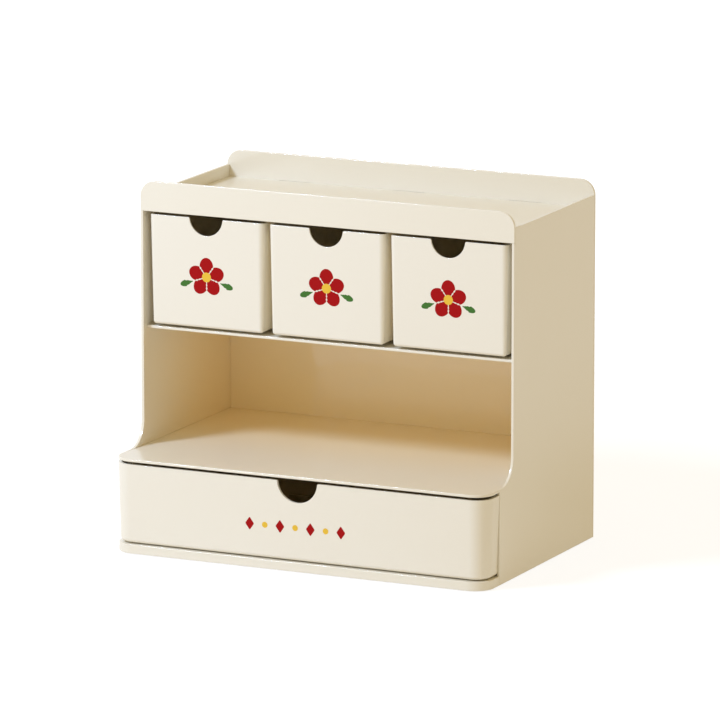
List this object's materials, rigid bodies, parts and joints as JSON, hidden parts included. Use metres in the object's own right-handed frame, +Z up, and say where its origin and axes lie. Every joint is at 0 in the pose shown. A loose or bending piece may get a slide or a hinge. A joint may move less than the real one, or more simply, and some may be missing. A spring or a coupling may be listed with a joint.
{
  "type": "desktop mini drawers",
  "caption": "Desktop drawer unit: small drawers in a row under a shallow top tray, an open bay below them, and a wide drawer at the bottom, all with finger notches.",
  "frame": {"origin": "middle of the footprint, on the surface that the feet stand on", "axes": "+Z up; the front faces -Y, so a drawer opens towards -Y; +X to the right seen from the front"},
  "size_m": [0.28, 0.1806, 0.2511],
  "materials": {
    "cabinet_plastic": "smooth glossy moulded plastic, warm cream white",
    "drawer_plastic": "smooth glossy moulded plastic, cream white, with a small printed ornament on the front",
    "foot_rubber": "matt dark grey rubber"
  },
  "bodies": {
    "cabinet": {"left_side_panel": "cabinet_plastic", "right_side_panel": "cabinet_plastic", "back_panel": "cabinet_plastic", "front_lip": "cabinet_plastic", "tray_floor": "cabinet_plastic", "middle_shelf": "cabinet_plastic", "lower_shelf": "cabinet_plastic", "base_plate": "cabinet_plastic", "rubber_feet": "foot_rubber"},
    "drawer_left": {"small_drawer_left": "drawer_plastic"},
    "drawer_middle": {"small_drawer_middle": "drawer_plastic"},
    "drawer_right": {"small_drawer_right": "drawer_plastic"},
    "drawer_wide": {"wide_drawer": "drawer_plastic"}
  },
  "joints": [
    {"name": "left_drawer_slide", "type": "slide", "parent": "cabinet", "child": "drawer_left", "axis": [0, -1, 0], "range_m": [0, 0.105]},
    {"name": "middle_drawer_slide", "type": "slide", "parent": "cabinet", "child": "drawer_middle", "axis": [0, -1, 0], "range_m": [0, 0.105]},
    {"name": "right_drawer_slide", "type": "slide", "parent": "cabinet", "child": "drawer_right", "axis": [0, -1, 0], "range_m": [0, 0.105]},
    {"name": "wide_drawer_slide", "type": "slide", "parent": "cabinet", "child": "drawer_wide", "axis": [0, -1, 0], "range_m": [0, 0.14]}
  ]
}
